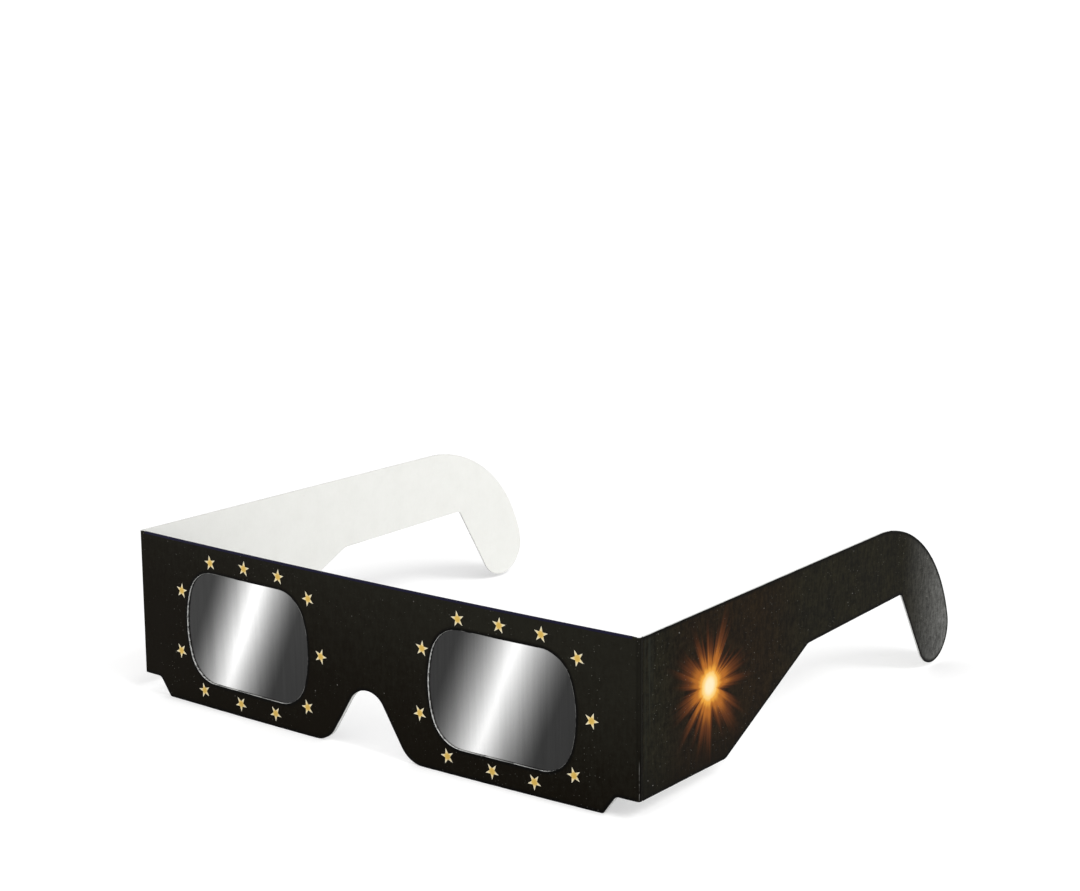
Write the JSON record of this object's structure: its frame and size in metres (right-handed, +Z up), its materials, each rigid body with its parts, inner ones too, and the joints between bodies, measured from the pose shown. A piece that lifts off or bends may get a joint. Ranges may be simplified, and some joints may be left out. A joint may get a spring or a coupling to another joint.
{
  "type": "folding card eclipse glasses",
  "caption": "Flat card viewing glasses with two mirrored solar film lenses, a nose cut, and hooked temples that fold at upright creases.",
  "frame": {"origin": "middle of the footprint, at the height of the two tongues that the front stands on", "axes": "+Z up, the lenses look along -Y, the temples run back along +Y, +X towards the wearer's left"},
  "size_m": [0.1465, 0.1396, 0.039],
  "materials": {
    "black_print": "satin print outside, bare white board inside",
    "navy_print": "satin print",
    "adhesive": "dried coat, not visible",
    "solar_film": "metallised, mirror bright"
  },
  "bodies": {
    "front": {"front_board": "black_print", "rear_board": "navy_print", "top_fold": "navy_print", "adhesive_layer": "adhesive", "left_film": "solar_film", "right_film": "solar_film", "left_crease": "black_print", "right_crease": "black_print"},
    "left_temple": {"left_temple": "black_print"},
    "right_temple": {"right_temple": "black_print"}
  },
  "joints": [
    {"name": "left_fold", "type": "hinge", "parent": "front", "child": "left_temple", "pos_m": [0.0725, -0.06759, 0.02165], "axis": [0, 0, 1], "range_deg": [-93.3, 86.7]},
    {"name": "right_fold", "type": "hinge", "parent": "front", "child": "right_temple", "pos_m": [-0.0725, -0.06759, 0.02165], "axis": [0, 0, -1], "range_deg": [-91, 84]}
  ]
}
